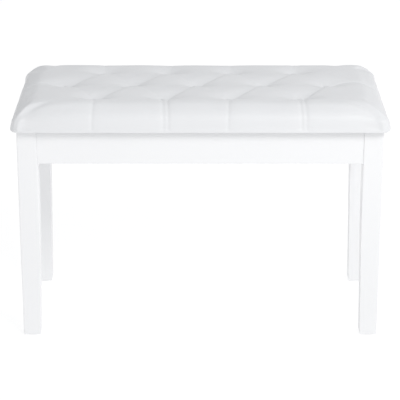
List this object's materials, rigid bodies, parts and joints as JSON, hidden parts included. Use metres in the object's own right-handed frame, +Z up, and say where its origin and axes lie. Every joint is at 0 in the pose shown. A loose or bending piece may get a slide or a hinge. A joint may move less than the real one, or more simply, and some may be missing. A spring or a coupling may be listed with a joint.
{
  "type": "piano bench",
  "caption": "Two-seat white piano bench: square tapered legs, a padded button-tufted seat, and a storage well under a hinged lid held open by slotted stays.",
  "frame": {"origin": "on the floor, under the middle of the seat", "axes": "+X along the bench to its right as seen from the front, -Y towards the front, +Z up"},
  "size_m": [0.762, 0.356, 0.504],
  "materials": {
    "painted_wood": "satin white lacquer",
    "plain_wood": "bare",
    "bracket_steel": "zinc plated",
    "hinge_steel": "nickel plated",
    "stay_steel": "zinc plated",
    "glide_plastic": "matte",
    "bumper_rubber": "matte",
    "white_leather": "satin synthetic leather",
    "seat_foam": "open foam",
    "twine": "waxed twine",
    "dust_cloth": "matte nonwoven"
  },
  "bodies": {
    "frame": {"leg_front_left": "painted_wood", "leg_front_right": "painted_wood", "leg_rear_right": "painted_wood", "leg_rear_left": "painted_wood", "foot_glide_front_left": "glide_plastic", "foot_glide_front_right": "glide_plastic", "foot_glide_rear_right": "glide_plastic", "foot_glide_rear_left": "glide_plastic", "corner_bracket_front_left": "bracket_steel", "corner_bracket_front_right": "bracket_steel", "corner_bracket_rear_right": "bracket_steel", "corner_bracket_rear_left": "bracket_steel", "glide_nails": "bracket_steel", "front_apron": "painted_wood", "rear_apron": "painted_wood", "left_apron": "painted_wood", "right_apron": "painted_wood", "storage_floor": "painted_wood", "bracket_screws": "bracket_steel", "leg_bolts": "bracket_steel", "bolt_washers": "bracket_steel", "leg_inserts": "bracket_steel", "apron_dowels": "plain_wood", "hinge_frame_leaf_left": "hinge_steel", "hinge_frame_leaf_right": "hinge_steel", "hinge_pin_left": "hinge_steel", "hinge_pin_right": "hinge_steel", "hinge_frame_screws": "hinge_steel", "lid_bumpers": "bumper_rubber", "stay_frame_plate_left": "stay_steel", "stay_frame_plate_right": "stay_steel", "stay_frame_rivets": "stay_steel", "stay_frame_screws": "stay_steel"},
    "lid": {"seat_board": "plain_wood", "seat_foam": "seat_foam", "seat_cover": "white_leather", "tuft_buttons": "white_leather", "tuft_twines": "twine", "twine_washers": "bracket_steel", "dust_cover": "dust_cloth", "dust_cover_staples": "bracket_steel", "hinge_lid_leaf_left": "hinge_steel", "hinge_lid_leaf_right": "hinge_steel", "hinge_lid_screws": "hinge_steel", "stay_lid_bracket_left": "stay_steel", "stay_lid_bracket_right": "stay_steel", "stay_lid_rivets": "stay_steel", "stay_lid_screws": "stay_steel"},
    "lower_arm_left": {"stay_lower_left": "stay_steel"},
    "upper_arm_left": {"stay_upper_left": "stay_steel"},
    "lower_arm_right": {"stay_lower_right": "stay_steel"},
    "upper_arm_right": {"stay_upper_right": "stay_steel"}
  },
  "joints": [
    {"name": "lid_hinge", "type": "hinge", "parent": "frame", "child": "lid", "pos_m": [0, 0.1618, 0.447], "axis": [-1, 0, 0], "range_deg": [0, 80]},
    {"name": "lower_arm_pivot_left", "type": "hinge", "parent": "frame", "child": "lower_arm_left", "pos_m": [-0.34945, 0.0668, 0.413], "axis": [-1, 0, 0], "range_deg": [0, 104]},
    {"name": "upper_arm_pivot_left", "type": "hinge", "parent": "lid", "child": "upper_arm_left", "pos_m": [-0.34765, 0.0668, 0.438], "axis": [-1, 0, 0], "range_deg": [-103.5, 0]},
    {"name": "lower_arm_pivot_right", "type": "hinge", "parent": "frame", "child": "lower_arm_right", "pos_m": [0.34945, 0.0668, 0.413], "axis": [-1, 0, 0], "range_deg": [0, 104]},
    {"name": "upper_arm_pivot_right", "type": "hinge", "parent": "lid", "child": "upper_arm_right", "pos_m": [0.34765, 0.0668, 0.438], "axis": [-1, 0, 0], "range_deg": [-103.5, 0]}
  ],
  "couplings": [
    {"joint": "lower_arm_pivot_left", "follows": "lid_hinge", "ratio": 1.292},
    {"joint": "upper_arm_pivot_left", "follows": "lid_hinge", "ratio": -1.286},
    {"joint": "lower_arm_pivot_right", "follows": "lid_hinge", "ratio": 1.292},
    {"joint": "upper_arm_pivot_right", "follows": "lid_hinge", "ratio": -1.286}
  ]
}
